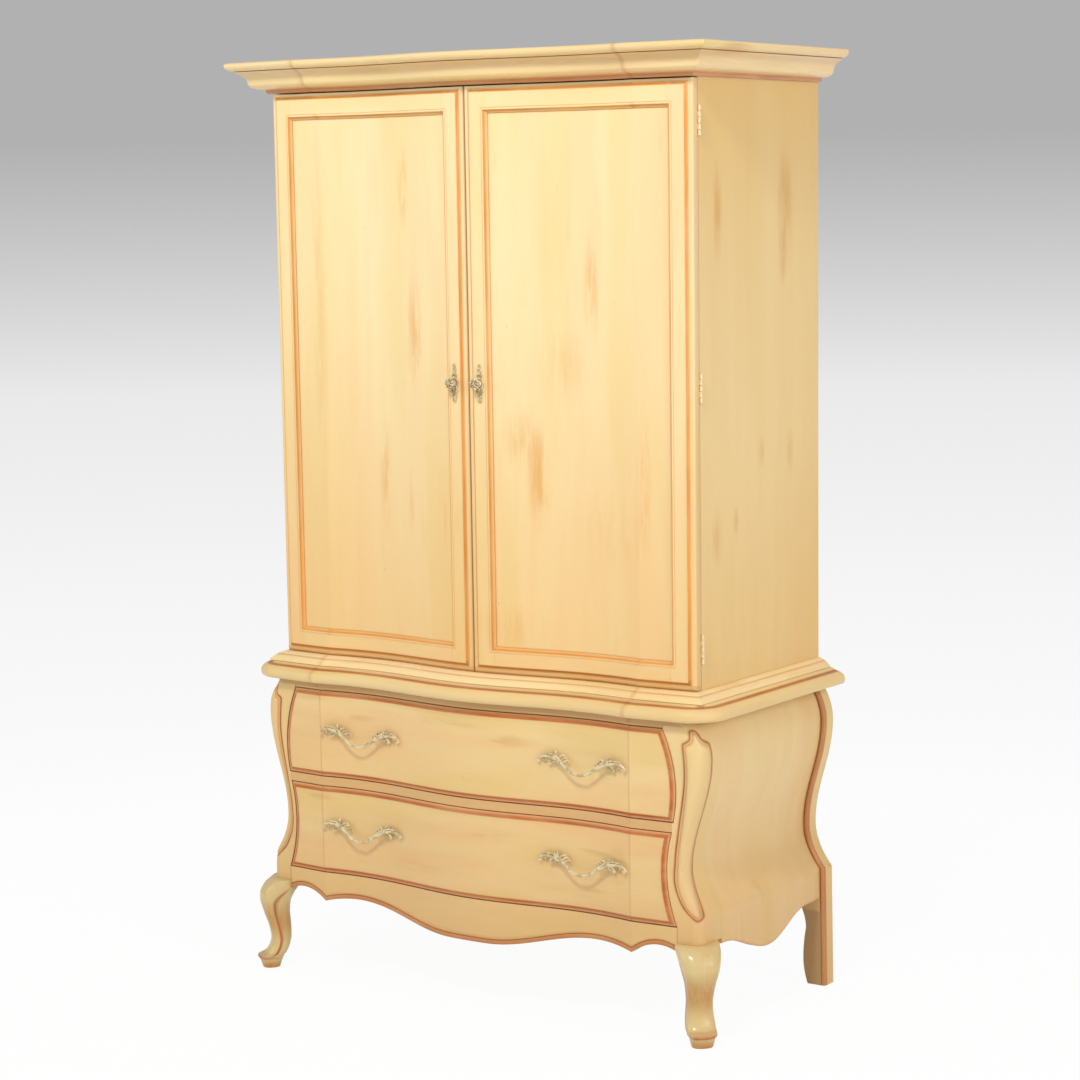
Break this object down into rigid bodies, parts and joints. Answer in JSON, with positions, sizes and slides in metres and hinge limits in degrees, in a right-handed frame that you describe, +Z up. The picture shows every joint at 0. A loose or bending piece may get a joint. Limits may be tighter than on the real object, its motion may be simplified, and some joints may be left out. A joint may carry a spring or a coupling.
{
  "type": "tv armoire",
  "caption": "Tall painted wood media cabinet with a panelled double-door upper case on a bombe drawer base, serpentine front and cabriole front legs.",
  "frame": {"origin": "on the floor, under the middle of the outer box", "axes": "+X to the viewer's right when facing the doors, -Y out of the front, +Z up"},
  "size_m": [1.272, 0.632, 2.1],
  "materials": {
    "body_paint": "satin cream-yellow paint, rubbed and glazed with a tan wipe, burnt orange in the grooves and on the beads",
    "door_paint": "the same satin cream-yellow paint, a little paler, with soft upright streaks",
    "bare_wood": "unpainted inner wood",
    "pull_metal": "cast metal with a worn cream finish and brown in its hollows",
    "hinge_metal": "steel butt hinges in a cream finish",
    "catch_plastic": "matt dark brown"
  },
  "bodies": {
    "case": {"front_leg_left": "body_paint", "front_leg_right": "body_paint", "corner_post_left": "body_paint", "corner_post_right": "body_paint", "rear_post_left": "body_paint", "rear_post_right": "body_paint", "side_panel_left": "body_paint", "side_panel_right": "body_paint", "front_apron": "body_paint", "top_rail": "body_paint", "drawer_divider": "body_paint", "bottom_board": "bare_wood", "lower_back": "bare_wood", "base_top": "body_paint", "upper_side_left": "body_paint", "upper_side_right": "body_paint", "upper_top": "bare_wood", "upper_deck": "body_paint", "upper_back": "bare_wood", "tv_shelf": "bare_wood", "cornice": "body_paint", "magnetic_catch": "catch_plastic", "hinge_top_case_leaf_left": "hinge_metal", "hinge_middle_case_leaf_left": "hinge_metal", "hinge_bottom_case_leaf_left": "hinge_metal", "hinge_top_case_leaf_right": "hinge_metal", "hinge_middle_case_leaf_right": "hinge_metal", "hinge_bottom_case_leaf_right": "hinge_metal"},
    "left_door": {"door_hinge_stile_left": "door_paint", "door_meeting_stile_left": "door_paint", "door_top_rail_left": "door_paint", "door_bottom_rail_left": "door_paint", "door_panel_left": "door_paint", "door_pull_left": "pull_metal", "hinge_top_door_leaf_left": "hinge_metal", "hinge_middle_door_leaf_left": "hinge_metal", "hinge_bottom_door_leaf_left": "hinge_metal"},
    "right_door": {"door_hinge_stile_right": "door_paint", "door_meeting_stile_right": "door_paint", "door_top_rail_right": "door_paint", "door_bottom_rail_right": "door_paint", "door_panel_right": "door_paint", "door_pull_right": "pull_metal", "hinge_top_door_leaf_right": "hinge_metal", "hinge_middle_door_leaf_right": "hinge_metal", "hinge_bottom_door_leaf_right": "hinge_metal"},
    "upper_drawer": {"upper_drawer_front": "body_paint", "upper_drawer_side_left": "bare_wood", "upper_drawer_side_right": "bare_wood", "upper_drawer_back": "bare_wood", "upper_drawer_bottom": "bare_wood", "upper_drawer_pull_left": "pull_metal", "upper_drawer_pull_right": "pull_metal"},
    "lower_drawer": {"lower_drawer_front": "body_paint", "lower_drawer_side_left": "bare_wood", "lower_drawer_side_right": "bare_wood", "lower_drawer_back": "bare_wood", "lower_drawer_bottom": "bare_wood", "lower_drawer_pull_left": "pull_metal", "lower_drawer_pull_right": "pull_metal"}
  },
  "joints": [
    {"name": "left_door_hinge", "type": "hinge", "parent": "case", "child": "left_door", "pos_m": [-0.5635, -0.1875, 1.392], "axis": [0, 0, -1], "range_deg": [0, 180]},
    {"name": "right_door_hinge", "type": "hinge", "parent": "case", "child": "right_door", "pos_m": [0.5635, -0.1875, 1.392], "axis": [0, 0, 1], "range_deg": [0, 180]},
    {"name": "upper_drawer_slide", "type": "slide", "parent": "case", "child": "upper_drawer", "axis": [0, -1, 0], "range_m": [0, 0.4]},
    {"name": "lower_drawer_slide", "type": "slide", "parent": "case", "child": "lower_drawer", "axis": [0, -1, 0], "range_m": [0, 0.4]}
  ]
}
